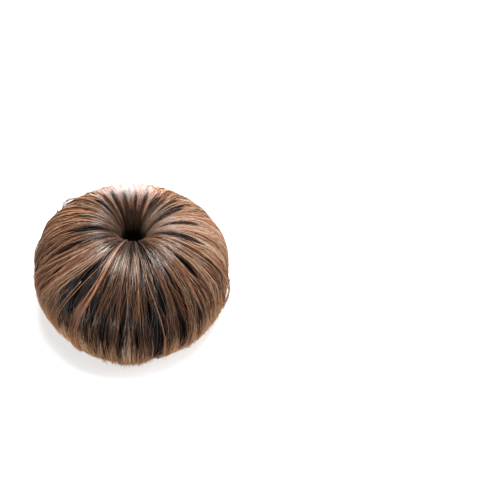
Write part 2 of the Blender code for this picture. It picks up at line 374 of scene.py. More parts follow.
def hollow(angle, arc, azimuth, width, middle, reach):
    """A soft hill of height 1 over azimuth and arc length."""
    apart = np.remainder(angle - math.radians(azimuth) + math.pi, math.tau) - math.pi
    return np.exp(-(apart / math.radians(width)) ** 2 - ((arc - middle) / reach) ** 2)


def floats(values):
    return np.ascontiguousarray(values, dtype=np.float32).ravel()


def mesh_from_arrays(name, verts, corners, starts, uvs=None):
    mesh = bpy.data.meshes.new(name)
    mesh.vertices.add(len(verts))
    mesh.vertices.foreach_set("co", floats(verts))
    mesh.loops.add(len(corners))
    mesh.loops.foreach_set("vertex_index", np.ascontiguousarray(corners, dtype=np.int32))
    mesh.polygons.add(len(starts))
    mesh.polygons.foreach_set("loop_start", np.ascontiguousarray(starts, dtype=np.int32))
    if uvs is not None:
        for layer in ("strand", "OFBake"):
            mesh.uv_layers.new(name=layer)
        for layer in ("strand", "OFBake"):
            mesh.uv_layers[layer].data.foreach_set("uv", floats(uvs))
    mesh.update(calc_edges=True)
    mesh.shade_smooth()
    mesh.validate()
    return mesh


def add_piece(name, mesh, material):
    item = bpy.data.objects.new(name, mesh)
    pieces.objects.link(item)
    mesh.materials.append(material)
    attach(item, "root")
    return item


# Strands

STRAND_POINTS = 15
SIDES = 3

# Stretches of the section over which a strand drifts sideways, rises to its full lift, is pinched together
# and grows to its full thickness
DRIFT_SPAN = (-2.0 * MM, 62.0 * MM)
RISE_SPAN = (0.0, 26.0 * MM)
PINCH_SPAN = (2.0 * MM, 26.0 * MM)
SLIM_SPAN = (-8.0 * MM, 24.0 * MM)
FOOT_START = 62.0 * MM

# How deep a strand's root is sunk in the hair, and how soon it comes out
ROOT_DEPTH = 2.6 * MM
ROOT_SPAN = 9.0 * MM

# Shares of a strand where its tip begins to bend and to narrow
TIP_SHARE = 0.80
POINT_SHARE = 0.86
POINT_NARROWING = 0.75

# The slight wave of a strand, and the throat, in which no strand may stand off further
WAVE_LENGTH = 9.0 * MM
THROAT_ARC = -8.0 * MM
THROAT_LIFT = 0.5 * MM

# Least heights over the floor of a strand's middle and of its skin
MIDDLE_CLEARANCE = 0.35 * MM
SKIN_CLEARANCE = 0.12 * MM

# Where the painted shade of the dimple, drawn further out along the roots, fades out
SHADOW_SPAN = (4.0 * MM, 44.0 * MM)


def round_axis(radius, angle, height):
    """Points at a radius, an azimuth and a height round the axis of the hair."""
    return np.stack((AXIS_X + radius * np.cos(angle), AXIS_Y + radius * np.sin(angle), height), axis=-1)


def make_strands(rows):
    """Centre lines, surface normals, thicknesses, arc lengths and azimuths of all strands."""
    count = len(rows["azimuth"])
    share = np.linspace(0.0, 1.0, STRAND_POINTS)[None, :]
    arc = rows["start"][:, None] + (rows["end"] - rows["start"])[:, None] * share
    down = smooth_step(arc, *DRIFT_SPAN)
    side = smooth_step(arc, *RISE_SPAN)
    foot = smooth_step(arc, FOOT_START, ARC_END)
    tip = smooth_step(share, TIP_SHARE, 1.0) * np.ones_like(arc)

    gather = 1.0 - rows["gather"][:, None] * foot
    pinch = rows["pinch"][:, None] * (1.0 - smooth_step(arc, *PINCH_SPAN))
    angle = rows["azimuth"][:, None] + rows["lateral"][:, None] * gather * (1.0 - 0.4 * pinch)
    angle = angle - rows["place"][:, None] * pinch
    angle = angle + rows["drift"][:, None] * down
    angle = angle + rows["bend"][:, None] * np.sin(down * math.pi * 1.6 + rows["phase"][:, None])
    angle = angle + rows["stray"][:, None] * (down - 0.25) * side
    angle = angle + rows["flick"][:, None] * tip
    # Strands near a parting are pushed to the side of it that they are on
    for row in PARTINGS:
        width = math.radians(row["width"])
        apart = np.remainder(angle - math.radians(row["azimuth"]) + math.pi, math.tau) - math.pi
        window = np.exp(-((arc - row["middle"] * MM) / (row["reach"] * MM)) ** 2)
        own_side = np.sign(np.sum(apart * window, axis=1, keepdims=True))
        apart = apart * own_side
        reach = smooth_step(apart, -3.0 * width, -1.2 * width) * (apart < 2.5 * width)
        push = (width - 0.4 * apart) * reach * own_side
        angle = angle + push * window * rows["open"][:, None]

    offset = rows["lift"][:, None] * (0.50 + 0.50 * side)
    offset = offset - rows["lens"][:, None] * (0.50 + 0.50 * side)
    wave = np.sin(arc / WAVE_LENGTH + rows["phase"][:, None] * 2.0)
    offset = offset + rows["wave"][:, None] * wave * side
    offset = offset + rows["loft"][:, None] * np.sin(share * math.pi) ** 1.5
    rooted = smooth_step(arc - rows["start"][:, None], 0.0, ROOT_SPAN)
    offset = offset - rows["root"][:, None] * (1.0 - rooted)
    offset = offset + rows["splay"][:, None] * tip
    offset = np.where(arc < THROAT_ARC, np.minimum(offset, THROAT_LIFT), offset)

    radius, height, across, up = section(arc, angle, 1.0 - rows["bridging"][:, None])
    radius = radius + across * offset
    height = np.maximum(height + up * offset, MIDDLE_CLEARANCE)
    points = round_axis(radius, angle, height)
    normals = np.stack((across * np.cos(angle), across * np.sin(angle), up), axis=-1)
    fade = 1.0 - POINT_NARROWING * smooth_step(share, POINT_SHARE, 1.0)
    slim = 0.55 + 0.45 * smooth_step(arc, *SLIM_SPAN)
    thick = rows["thick"][:, None] * fade * slim
    return points, normals, thick * np.ones((count, STRAND_POINTS)), arc, angle


def strand_mesh(name, rows):
    """Closed three-sided tubes round the centre lines, all joined in one mesh."""
    points, normals, thick, arc, angle = make_strands(rows)
    count = len(points)
    along = np.gradient(points, axis=1)
    along /= np.linalg.norm(along, axis=-1, keepdims=True)
    sideways = np.cross(along, normals)
    sideways /= np.linalg.norm(sideways, axis=-1, keepdims=True)
    outward = np.cross(sideways, along)
    rings = []
    for index in range(SIDES):
        turn = math.pi / 2.0 + index * 2.0 * math.pi / SIDES
        ring = outward * math.sin(turn) + sideways * math.cos(turn)
        rings.append(points + ring * thick[..., None])
    verts = np.stack(rings, axis=2)
    verts[..., 2] = np.maximum(verts[..., 2], SKIN_CLEARANCE)
    verts = verts.reshape(-1, 3)
    base = (np.arange(count) * STRAND_POINTS * SIDES)[:, None, None]
    level = (np.arange(STRAND_POINTS - 1) * SIDES)[None, :, None]
    edge = np.arange(SIDES)[None, None, :]
    following = (edge + 1) % SIDES
    first = base + level + edge
    second = base + level + following
    quads = np.stack((first, second, second + SIDES, first + SIDES), axis=-1).reshape(-1, 4)
    root_caps = base[:, 0] + np.array([2, 1, 0])[None, :]
    tip_caps = base[:, 0] + (STRAND_POINTS - 1) * SIDES + np.array([0, 1, 2])[None, :]
    caps = np.concatenate((root_caps, tip_caps))
    corners = np.concatenate((quads.ravel(), caps.ravel()))
    starts = np.concatenate((np.arange(len(quads)) * 4, len(quads) * 4 + np.arange(len(caps)) * 3))
    tone = np.repeat(rows["tone"], STRAND_POINTS * SIDES)
    length = np.repeat(shaded_length(rows, arc, angle)[:, :, None], SIDES, axis=2).ravel()
    uvs = np.stack((tone, np.clip(length, 0.0, 1.0)), axis=-1)[corners]
    return mesh_from_arrays(name, verts, corners, starts, uvs)


def shaded_length(rows, arc, angle):
    """Place along the strand, 0 to 1, that sets its colour: drawn back to the root's where painted shade
    darkens it.
    """
    shadow = np.zeros(len(arc))
    # Painted shade: the dimple's dark root colour reaches further along the strand
    for row in ROOT_SHADOWS:
        shadow += hollow(rows["azimuth"], 0.0, row["azimuth"], row["width"], 0.0, 1.0) * row["reach"] * MM
    shaded = arc - shadow[:, None] * (1.0 - smooth_step(arc, *SHADOW_SPAN))
    dark = np.zeros_like(arc)
    # Painted shade: strands in these patches take the colour of the shaded root
    for row in PAINTED_SHADE_PATCHES:
        patch = hollow(angle, arc, row["azimuth"], row["width"], row["arc"] * MM, row["reach"] * MM)
        dark = np.maximum(dark, patch * row["amount"] * (rows["open"][:, None] > 0.0))
    shaded = shaded + (ARC_START - shaded) * np.clip(dark, 0.0, 1.0)
    return (shaded - ARC_START) / (ARC_END - ARC_START)


# What is kept for each strand
FIELDS = ("azimuth", "lateral", "drift", "bend", "phase", "stray", "flick", "lift", "lens", "wave", "loft",
          "root", "splay", "start", "end", "gather", "thick", "tone", "shade", "open", "bridging", "place",
          "pinch")

# Where the strands that run down the throat of the dimple begin, in mm
DEEP_START = -21.0


def clump_rows(count, azimuth, width, lift, drift, bend, phase, shade, tone, lens, style):
    """Arrays for the strands of one clump that keep together from root to tip."""
    lateral = np.clip(chance.normal(0.0, 0.5, count), -1.15, 1.15)
    deep = chance.uniform(0.0, 1.0) < style["deep_share"] * deep_share(azimuth)
    open_share = chance.uniform(0.7, 1.0) if chance.uniform(0.0, 1.0) < style["open"] else 0.1
    end = ARC_END - 1.5 * MM - chance.uniform(0.0, 1.0) ** 1.3 * style["ragged"]
    rows = {}
    rows["azimuth"] = np.full(count, azimuth)
    rows["lateral"] = lateral * width
    rows["drift"] = drift + chance.normal(0.0, math.radians(style["drift_noise"]), count)
    rows["bend"] = np.full(count, bend)
    rows["phase"] = phase + chance.uniform(0.0, 0.4, count)
    rows["stray"] = chance.normal(0.0, math.radians(style["stray"]), count)
    rows["flick"] = chance.normal(0.0, math.radians(0.9), count)
    sunk = chance.uniform(0.0, 1.0, count) ** 1.3
    rows["lift"] = lift - sunk * style["depth"]
    rows["lens"] = lens + 0.22 * MM * lateral ** 2
    rows["wave"] = chance.normal(0.0, 0.10 * MM, count)
    rows["loft"] = np.abs(chance.normal(0.0, style["loft"], count))
    rows["start"] = (np.where(deep, DEEP_START, chance.uniform(style["root_low"], style["root_high"]))
                     + chance.uniform(-2.0, 2.0, count)) * MM
    rows["root"] = np.full(count, 0.0 if deep else ROOT_DEPTH)
    rows["end"] = end - chance.uniform(0.0, 1.0, count) ** 2 * 2.5 * MM
    rows["splay"] = chance.normal(style["splay"], 0.3 * MM, count)
    rows["gather"] = chance.uniform(0.3, 0.9, count)
    rows["thick"] = chance.uniform(style["thin"], style["thick"], count)
    rows["tone"] = np.clip(tone + chance.normal(0.0, 0.10, count), 0.02, 0.98)
    # Painted shade: strands sunk deeper in the clump are darker
    rows["shade"] = shade + chance.normal(0.0, style["shade_noise"], count) - style["sunk_shade"] * sunk
    rows["open"] = np.full(count, open_share)
    rows["bridging"] = np.zeros(count)
    rows["place"] = np.zeros(count)
    rows["pinch"] = np.full(count, style["pinch"])
    return rows


def deep_share(azimuth):
    """Share of clumps that run down into the dimple: fewer in front, where dark gaps show, than behind."""
    return 0.75 - 0.45 * bump(azimuth, -92.0, 55.0) + 0.35 * bump(azimuth, 92.0, 60.0)


def add_lock(blocks, azimuth, width, lift, drift, shade, lens, style):
    """A lock is a row of clumps side by side, crowned in the middle."""
    clumps = max(1, int(round(2.0 * width / math.radians(style["spacing"]))))
    bend = math.radians(chance.normal(0.0, 0.9))
    phase = azimuth * 3.0
    for index in range(clumps):
        place = (2.0 * index + 1.0) / clumps - 1.0 + chance.normal(0.0, 0.5 / clumps)
        count = int(chance.integers(style["fewest"], style["most"] + 1))
        clump_lift = lift + chance.normal(0.0, style["clump_lift"])
        clump_drift = drift + math.radians(chance.normal(0.0, style["clump_drift"]))
        clump_shade = shade + chance.normal(0.0, style["clump_shade"])
        tone = chance.uniform(0.1, 0.9)
        block = clump_rows(count, azimuth + place * width, math.radians(style["clump"]), clump_lift,
                           clump_drift, bend, phase, clump_shade, tone, lens * place ** 2, style)
        block["place"] += place * width
        blocks.append(block)


# How the strands of each layer and kind are made. Angles are in degrees, and roots in mm along the section.
# Clumps are bundles that keep together: how far apart they lie, how wide they are, how many strands they
# have, and how much they differ.
UNDER = dict(
    sunk_shade=0.05, pinch=0.0, drift_noise=1.2, stray=1.6, depth=0.9 * MM, loft=0.05 * MM,
    deep_share=0.3, root_low=0.0, root_high=18.0, ragged=1.0 * MM, splay=0.1 * MM, thin=0.2 * MM,
    thick=0.28 * MM, shade_noise=0.05, open=0.0, spacing=2.0, clump=1.0, fewest=5, most=6,
    clump_lift=0.25 * MM, clump_drift=2.5, clump_shade=0.06)
MIDDLE = dict(
    sunk_shade=0.1, pinch=0.3, drift_noise=0.25, stray=0.5, depth=0.35 * MM, loft=0.05 * MM,
    deep_share=0.28, root_low=-4.0, root_high=16.0, ragged=4.0 * MM, splay=0.1 * MM, thin=0.13 * MM,
    thick=0.18 * MM, shade_noise=0.04, open=0.9, spacing=1.15, clump=0.34, fewest=4, most=6,
    clump_lift=0.22 * MM, clump_drift=2.0, clump_shade=0.13)
MAIN = dict(
    sunk_shade=0.22, pinch=0.6, drift_noise=0.16, stray=0.35, depth=0.25 * MM, loft=0.06 * MM,
    deep_share=0.5, root_low=-5.0, root_high=12.0, ragged=20.0 * MM, splay=0.6 * MM, thin=0.08 * MM,
    thick=0.14 * MM, shade_noise=0.09, open=0.97, spacing=0.9, clump=0.27, fewest=4, most=7,
    clump_lift=0.26 * MM, clump_drift=2.0, clump_shade=0.13)
TOP = dict(
    sunk_shade=0.15, pinch=0.2, drift_noise=0.3, stray=0.9, depth=0.3 * MM, loft=0.12 * MM,
    deep_share=1.0, root_low=-20.0, root_high=-18.0, ragged=9.0 * MM, splay=0.2 * MM, thin=0.11 * MM,
    thick=0.16 * MM, shade_noise=0.08, open=0.9, spacing=1.2, clump=0.3, fewest=2, most=4,
    clump_lift=0.15 * MM, clump_drift=1.6, clump_shade=0.14)
TIP = dict(
    sunk_shade=0.1, pinch=0.0, drift_noise=0.8, stray=0.6, depth=0.2 * MM, loft=0.1 * MM,
    deep_share=0.0, ragged=7.0 * MM, splay=0.7 * MM, thin=0.09 * MM, thick=0.14 * MM, shade_noise=0.08,
    open=0.9)
STRAY = dict(
    sunk_shade=0.0, pinch=0.0, drift_noise=5.0, stray=6.0, depth=0.2 * MM, loft=0.35 * MM,
    deep_share=0.75, root_low=-4.0, root_high=20.0, ragged=20.0 * MM, splay=0.5 * MM, thin=0.06 * MM,
    thick=0.1 * MM, shade_noise=0.2, open=0.7)
FUZZ = dict(
    sunk_shade=0.0, pinch=0.0, drift_noise=7.0, stray=9.0, depth=0.3 * MM, loft=0.5 * MM,
    deep_share=0.0, root_low=-6.0, root_high=10.0, ragged=0.0, splay=0.8 * MM, thin=0.06 * MM,
    thick=0.1 * MM, shade_noise=0.0, open=0.0)

# How many locks the lowest and the top layer have, and how many tips and stray strands there are
UNDER_LOCKS = 30
TOP_LOCKS = 54
TIPS = 300
STRAYS = 750

# The two layers of locks: their lifts over the surface in mm, how much darker they are (painted shade on
# the lower layer, which lies under the other), how much of the round they cover and how much a lock is
# crowned in mm
LAYERS = table(
    "style low_lift high_lift darker cover lens",
    (MIDDLE, -1.7, -1.0, 0.27, 1.05, 0.6),
    (MAIN, -0.7, 0.45, -0.02, 0.82, 1.2))

# The fan of hair behind the dimple, which is matt, and the front, where alone dark hair is glossy: the
# middle and half width in degrees, and the shades that the strands there get
FAN_MIDDLE = 94.0
FAN_WIDTH = 31.0
FAN_SHADE = 1.3
FAN_LIMIT = 1.2
GLOSS_MIDDLE = -100.0
GLOSS_WIDTH = 55.0
MATT_SHADE = 0.24

# Short fine hairs: angles in degrees, lengths in mm
FRIZZ = table(
    "azimuth width low high lift count shade",
    # Whitish hairs on the back crown: their pale colour is painted light, the glow of the back-lit rim
    (96.0, 27.0, -7.0, 10.0, 1.5, 480, 2.0),
    # Pale short hairs over the front crown: painted highlight, the crown's sheen drawn as pale strands
    (-94.0, 34.0, -8.0, 3.0, 0.4, 44, 1.1),
    # Light hairs along the foot: in part the hair's own light ends, in part painted light from the floor
    # below
    (-25.0, 36.0, 42.0, 66.0, 1.0, 240, 0.6),
    (-150.0, 34.0, 40.0, 64.0, 0.8, 160, 0.58),
    (-92.0, 44.0, 54.0, 70.0, 0.8, 260, 0.72),
    (-88.0, 10.0, 60.0, 70.0, 1.8, 120, 0.64))


def bump(azimuth, middle, reach):
    """A soft hill of height 1 round an azimuth, both given in degrees."""
    return math.exp(-(math.remainder(azimuth - math.radians(middle), math.tau) / math.radians(reach)) ** 2)


def painted_side_shade(azimuth):
    """Hair shade round the bun, 0 dark to 1 light, with painted shade and light: front darkest, right
    lightest.
    """
    # The front, the left side and the right back are darkened as painted shade, the right side lightened as
    # painted light
    ahead = math.exp(-(math.remainder(azimuth - math.radians(-91.0), math.tau) / math.radians(50.0)) ** 4)
    right = bump(azimuth, 8.0, 38.0)
    left = bump(azimuth, 194.0, 40.0)
    right_back = bump(azimuth, 56.0, 26.0)
    behind = bump(azimuth, 95.0, 26.0)
    return 0.49 - 0.44 * ahead - 0.12 * right_back + 0.22 * right - 0.20 * left + 0.02 * behind


def degrees_noise(spread):
    return math.radians(chance.normal(0.0, spread))


# The lowest layer is painted near black: painted shade under the other locks
def add_under_layer(blocks):
    for index in range(UNDER_LOCKS):
        azimuth = math.tau * (index + chance.uniform(-0.2, 0.2)) / UNDER_LOCKS
        lift = chance.uniform(-2.7, -2.2) * MM
        add_lock(blocks, azimuth, math.radians(6.0), lift, degrees_noise(2.0), 0.04, 0.3 * MM, UNDER)


def add_layer(blocks, layer):
    """Locks of uneven width side by side all round."""
    edges = [0.0]
    while edges[-1] < math.tau - math.radians(2.0):
        edges.append(edges[-1] + math.radians(chance.uniform(3.2, 9.0)))
    scale = math.tau / edges[-1]
    for low, high in zip(edges, edges[1:]):
        azimuth = (low + high) / 2.0 * scale
        width = (high - low) / 2.0 * scale * layer["cover"] * chance.uniform(0.9, 1.08)
        shade = painted_side_shade(azimuth) - layer["darker"] + chance.normal(0.0, 0.11)
        lift = chance.uniform(layer["low_lift"], layer["high_lift"]) * MM
        add_lock(blocks, azimuth, width, lift, degrees_noise(3.4), shade, layer["lens"] * MM,
                 layer["style"])


def add_placed_lock(blocks, row, lens, style):
    """A lock whose place, width, lift, drift and shade are given by a row."""
    add_lock(blocks, math.radians(row["azimuth"]), math.radians(row["width"]), row["lift"] * MM,
             math.radians(row["drift"]), row["shade"], lens * MM, style)


def add_top_locks(blocks):
    """Narrow locks that cross the others."""
    for index in range(TOP_LOCKS):
        azimuth = math.tau * (index + chance.uniform(-0.5, 0.5)) / TOP_LOCKS
        width = math.radians(chance.uniform(0.5, 1.5))
        shade = painted_side_shade(azimuth) + chance.normal(0.01, 0.14)
        lift = chance.uniform(0.1, 0.5) * MM
        add_lock(blocks, azimuth, width, lift, degrees_noise(4.5), shade, 0.3 * MM, TOP)


def add_accents(blocks):
    for row in ACCENTS:
        style = dict(TOP, spacing=row["spacing"], clump_shade=0.04, shade_noise=0.05, deep_share=9.0,
                     thin=0.07 * MM, thick=row["thick"] * MM)
        locks = []
        add_placed_lock(locks, row, 0.1, style)
        for block in locks:
            block["loft"] += row["loft"] * MM * chance.uniform(0.4, 1.2)
            block["open"] *= 0.0
            block["bridging"] += row["bridging"]
            if row["begin"] is not None:
                begin = row["begin"] + chance.uniform(-10.0, 8.0)
                block["start"] = (begin + chance.uniform(-2.0, 2.0, len(block["start"]))) * MM
        blocks.extend(locks)


def add_tips(blocks):
    """Small pointed bundles over the dark foot of the hair: own light ends, partly painted light from the
    floor.
    """
    for index in range(TIPS):
        azimuth = math.tau * (index + chance.uniform(-0.5, 0.5)) / TIPS
        start = chance.uniform(40.0, 60.0)
        count = int(chance.integers(3, 6))
        lift = chance.uniform(-0.1, 0.6) * MM
        drift = degrees_noise(6.0)
        shade = chance.normal(0.80, 0.15)
        tone = chance.uniform(0.4, 1.0)
        style = dict(TIP, root_low=start, root_high=start + 0.1, splay=chance.uniform(-0.4, 3.0) * MM)
        blocks.append(clump_rows(count, azimuth, math.radians(0.45), lift, drift, 0.0, azimuth, shade, tone,
                                 0.0, style))


def add_strays(blocks):
    """Single strands that cross the locks."""
    for azimuth in chance.uniform(0.0, math.tau, STRAYS):
        lift = chance.uniform(0.1, 0.6) * MM
        blocks.append(clump_rows(1, azimuth, 0.0, lift, 0.0, 0.0, azimuth, painted_side_shade(azimuth) + 0.20, 0.5,
                                 0.0, STRAY))


def add_frizz(blocks):
    """Short fine hairs on the crown and along the foot."""
    for row in FRIZZ:
        count = row["count"]
        azimuth = math.radians(row["azimuth"])
        width = math.radians(row["width"])
        block = clump_rows(count, azimuth, width, 0.0, 0.0, 0.0, 0.0, row["shade"], 0.5, 0.0, FUZZ)
        block["phase"] = chance.uniform(0.0, math.tau, count)
        block["start"] = chance.uniform(row["low"], row["high"], count) * MM
        length = chance.uniform(10.0, 22.0, count) * MM
        block["end"] = np.minimum(block["start"] + length, ARC_END - 2.0 * MM)
        block["lift"] = chance.uniform(-0.2, row["lift"], count) * MM
        blocks.append(block)


def apart_from(azimuths, middle):
    """Distance of azimuths from one that is given in degrees, in radians."""
    return np.abs(np.remainder(azimuths - math.radians(middle) + math.pi, math.tau) - math.pi)


def build_rows():
    blocks = []
    add_under_layer(blocks)
    for layer in LAYERS:
        add_layer(blocks, layer)
    for row in SHOULDERS:
        add_placed_lock(blocks, row, row["lens"], MAIN)
    add_top_locks(blocks)
    add_accents(blocks)
    add_tips(blocks)
    add_strays(blocks)
    add_frizz(blocks)
    rows = {field: np.concatenate([block[field] for block in blocks]) for field in FIELDS}
    azimuths = rows["azimuth"]
    ragged_edge = chance.normal(0.0, 0.08, len(azimuths))
    behind = apart_from(azimuths, FAN_MIDDLE) + ragged_edge < math.radians(FAN_WIDTH)
    behind = behind & (rows["shade"] > SHADES[0]["high"]) & (rows["shade"] < FAN_LIMIT)
    rows["tone"] = np.where(behind, np.clip((rows["shade"] - 0.25) / 0.42, 0.02, 0.98), rows["tone"])
    rows["shade"] = np.where(behind, FAN_SHADE, rows["shade"])
    matt = apart_from(azimuths, GLOSS_MIDDLE) > math.radians(GLOSS_WIDTH)
    matt = matt & (rows["shade"] >= SHADES[1]["low"]) & (rows["shade"] < SHADES[1]["high"])
    rows["tone"] = np.where(matt, rows["tone"] * 0.4, rows["tone"])
    rows["shade"] = np.where(matt, MATT_SHADE, rows["shade"])
    return rows


# Painted shade of the dimple: how much further the root's dark colour reaches in front of, behind and
# beside
# the dimple: degrees and mm
ROOT_SHADOWS = table(
    "azimuth width reach",
    (-92.0, 46.0, 9.0),
    (94.0, 34.0, 17.0),
    (172.0, 36.0, 5.0),
    (12.0, 36.0, 5.0))

# Colours of the strands by shade: a group takes the shades from low to high. Middle is the brightness down
# the side, as far as the hold in mm, and from there it runs to the tip's: the lighter tips are in part the
# hair's own ends and in part painted light from the floor below.
SHADES = table(
    "name low high middle roughness specular coat tip hold deep light",
    ("shadow_strands", -9.0, 0.08, 0.175, 0.6, 0.05, 0.0, (0.92, 1.0, 0.86), 46.0,
     (0.044, 0.03, 0.022), (0.235, 0.142, 0.092)),
    ("dark_strands", 0.08, 0.22, 0.15, 0.28, 1.0, 0.7, (0.92, 1.0, 0.86), 46.0,
     (0.07, 0.043, 0.03), (0.37, 0.216, 0.132)),
    ("brown_strands", 0.22, 0.4, 0.18, 0.27, 0.5, 0.1, (0.95, 1.0, 0.8), 46.0,
     (0.165, 0.087, 0.05), (0.49, 0.272, 0.158)),
    ("auburn_strands", 0.4, 0.54, 0.38, 0.3, 0.4, 0.0, (1.0, 0.98, 0.9), 46.0,
     (0.24, 0.094, 0.045), (0.545, 0.232, 0.112)),
    ("tan_strands", 0.54, 0.76, 0.68, 0.34, 0.28, 0.0, (0.96, 1.0, 0.84), 46.0,
     (0.26, 0.138, 0.072), (0.54, 0.315, 0.175)),
    ("pale_strands", 0.76, 1.2, 0.88, 0.38, 0.45, 0.0, (1.0, 1.0, 0.95), 46.0,
     (0.33, 0.215, 0.133), (0.59, 0.43, 0.302)),
    ("fan_strands", 1.2, 1.5, 0.8, 0.55, 0.05, 0.0, (0.6, 0.68, 0.72), 14.0, (0.036, 0.016, 0.008),
     (0.72, 0.41, 0.235)),
    # The whitish frizz colour is painted light: the glow of the back-lit crown
    ("frizz", 1.5, 9.0, 1.0, 0.5, 0.5, 0.0, (1.0, 1.0, 1.0), 46.0, (0.5, 0.44, 0.42), (0.76, 0.7, 0.68)))


def node(tree, kind, **values):
    item = tree.nodes.new(kind)
    for key, value in values.items():
        setattr(item, key, value)
    return item


def new_material(name, values):
    """A material with plain values on its shader, and its node tree and shader."""
    material = bpy.data.materials.new(name)
    material.use_nodes = True
    tree = material.node_tree
    shader = tree.nodes["Principled BSDF"]
    for key, value in values.items():
        shader.inputs[key].default_value = value
    return material, tree, shader


def noise_over(tree, vector, scale, detail=2.0):
    noise = node(tree, "ShaderNodeTexNoise")
    noise.inputs["Scale"].default_value = scale
    noise.inputs["Detail"].default_value = detail
    tree.links.new(vector, noise.inputs["Vector"])
    return noise.outputs["Fac"]


def scaled(tree, vector, scale):
    mapping = node(tree, "ShaderNodeMapping")
    mapping.inputs["Scale"].default_value = scale
    tree.links.new(vector, mapping.inputs["Vector"])
    return mapping.outputs["Vector"]


def colours_of(tree, value, *stops):
    """Colours at places along a value."""
    ramp = node(tree, "ShaderNodeValToRGB")
    elements = ramp.color_ramp.elements
    for index, (place, colour) in enumerate(stops):
        stop = elements[index] if index < 2 else elements.new(place)
        stop.position = place
        stop.color = (*colour, 1.0)
    tree.links.new(value, ramp.inputs["Fac"])
    return ramp.outputs["Color"]


def scale_and_add(tree, value, factor):
    item = node(tree, "ShaderNodeMath", operation="MULTIPLY_ADD")
    item.inputs[1].default_value = factor
    tree.links.new(value, item.inputs[0])
    return item


def multiplied(tree, first, second):
    item = node(tree, "ShaderNodeMix", data_type="RGBA", blend_type="MULTIPLY")
    item.inputs[0].default_value = 1.0
    tree.links.new(first, item.inputs["A"])
    tree.links.new(second, item.inputs["B"])
    return item.outputs["Result"]


def add_relief(tree, shader, value, depth):
    relief = node(tree, "ShaderNodeBump")
    relief.inputs["Distance"].default_value = depth
    tree.links.new(value, relief.inputs["Height"])
    tree.links.new(relief.outputs["Normal"], shader.inputs["Normal"])


# Strand colours: how strongly tone and mottling count, the two tints, and how dark the deepest root is
# painted: the painted shade of the dimple, down which the roots run
TONE_FACTOR = 1.1
MOTTLE_FACTOR = 0.9
MOTTLE_MIDDLE = -0.22
COOL_TINT = (0.89, 0.98, 0.98)
WARM_TINT = (1.0, 0.76, 0.74)
ROOT_PAINTED_SHADE = (0.05, 0.045, 0.045)
ROOT_ROUGHNESS = 0.75


def strand_material(group):
    """Colour from deep to light by the strand's own tone, darkened at the root by painted shade, mottled
    along it.
    """
    values = {"IOR": 1.55, "Specular IOR Level": group["specular"], "Coat Weight": group["coat"],
              "Coat Roughness": 0.34}
    material, tree, shader = new_material(group["name"], values)
    uv = node(tree, "ShaderNodeUVMap", uv_map="strand")
    split = node(tree, "ShaderNodeSeparateXYZ")
    tree.links.new(uv.outputs["UV"], split.inputs[0])
    mottle = noise_over(tree, scaled(tree, uv.outputs["UV"], (80.0, 9.0, 1.0)), 1.0)
    lift = scale_and_add(tree, mottle, MOTTLE_FACTOR)
    lift.inputs[2].default_value = MOTTLE_MIDDLE
    blend = scale_and_add(tree, split.outputs["X"], TONE_FACTOR)
    tree.links.new(lift.outputs[0], blend.inputs[2])
    tone = node(tree, "ShaderNodeMix", data_type="RGBA")
    tone.inputs["A"].default_value = (*group["deep"], 1.0)
    tone.inputs["B"].default_value = (*group["light"], 1.0)
    tree.links.new(blend.outputs[0], tone.inputs[0])
    hue_noise = noise_over(tree, scaled(tree, uv.outputs["UV"], (230.0, 1.6, 1.0)), 1.0)
    hue = colours_of(tree, hue_noise, (0.36, COOL_TINT), (0.64, WARM_TINT))
    tinted = multiplied(tree, tone.outputs["Result"], hue)

    # Along the strand: the root darkened by the painted shade of the dimple, the middle, and the tip,
    # lighter in part as the hair's own ends and in part as painted light from the floor below
    span = MM / (ARC_END - ARC_START)
    root = -ARC_START / (ARC_END - ARC_START)
    middle = group["middle"]
    even = (middle, middle, middle)
    darkest = tuple(part * middle for part in ROOT_PAINTED_SHADE)
    along = colours_of(tree, split.outputs["Y"], (root - 26.0 * span, darkest), (root - 2.0 * span, even),
                       (root + group["hold"] * span, even), (root + 64.0 * span, group["tip"]))
    tree.links.new(multiplied(tree, tinted, along), shader.inputs["Base Color"])
    matt = node(tree, "ShaderNodeMapRange")
    matt.inputs["From Min"].default_value = root - 15.0 * span
    matt.inputs["From Max"].default_value = root - 6.0 * span
    matt.inputs["To Min"].default_value = ROOT_ROUGHNESS
    matt.inputs["To Max"].default_value = group["roughness"]
    tree.links.new(split.outputs["Y"], matt.inputs["Value"])
    tree.links.new(matt.outputs["Result"], shader.inputs["Roughness"])
    return material


# Most strands in one mesh
STRANDS_PER_PIECE = 2000


def build_strands():
    rows = build_rows()
    shade = rows["shade"]
    for group in SHADES:
        chosen = np.where((shade >= group["low"]) & (shade < group["high"]))[0]
        material = strand_material(group)
        for first in range(0, len(chosen), STRANDS_PER_PIECE):
            picked = chosen[first:first + STRANDS_PER_PIECE]
            mesh = strand_mesh(group["name"], {field: rows[field][picked] for field in FIELDS})
            item = add_piece(f"{group['name']}_{first // STRANDS_PER_PIECE + 1}", mesh, material)


# The body under the strands, painted near black as the shade between and under them: how far its outside
# lies under the hair at the crown, further down and at the foot, how thick it is, and the corners of its
# floor and of its funnel under the dimple
CORE_TURNS = 360
CORE_SINK = 1.3
CORE_SIDE_SINK = 1.6
CORE_FOOT_RISE = 2.3
CORE_WALL = 4.6 * MM
CORE_LAND = ((36.0, 0.3), (35.2, 2.0), (35.2, 7.5))
CORE_FUNNEL = ((12.0, 44.5), (8.2, 38.0), (7.8, 20.0), (7.6, 8.0))
CORE_RIDGE = 0.5 * MM


def ring_quads(turns, rows, last_row):
    """Corners of the faces between the columns of a turned mesh, column by column."""
    column = np.arange(turns)[:, None]
    row = np.arange(last_row)[None, :]
    following = (column + 1) % turns
    above = (row + 1) % rows
    return column * rows + row, following * rows + row, following * rows + above, column * rows + above


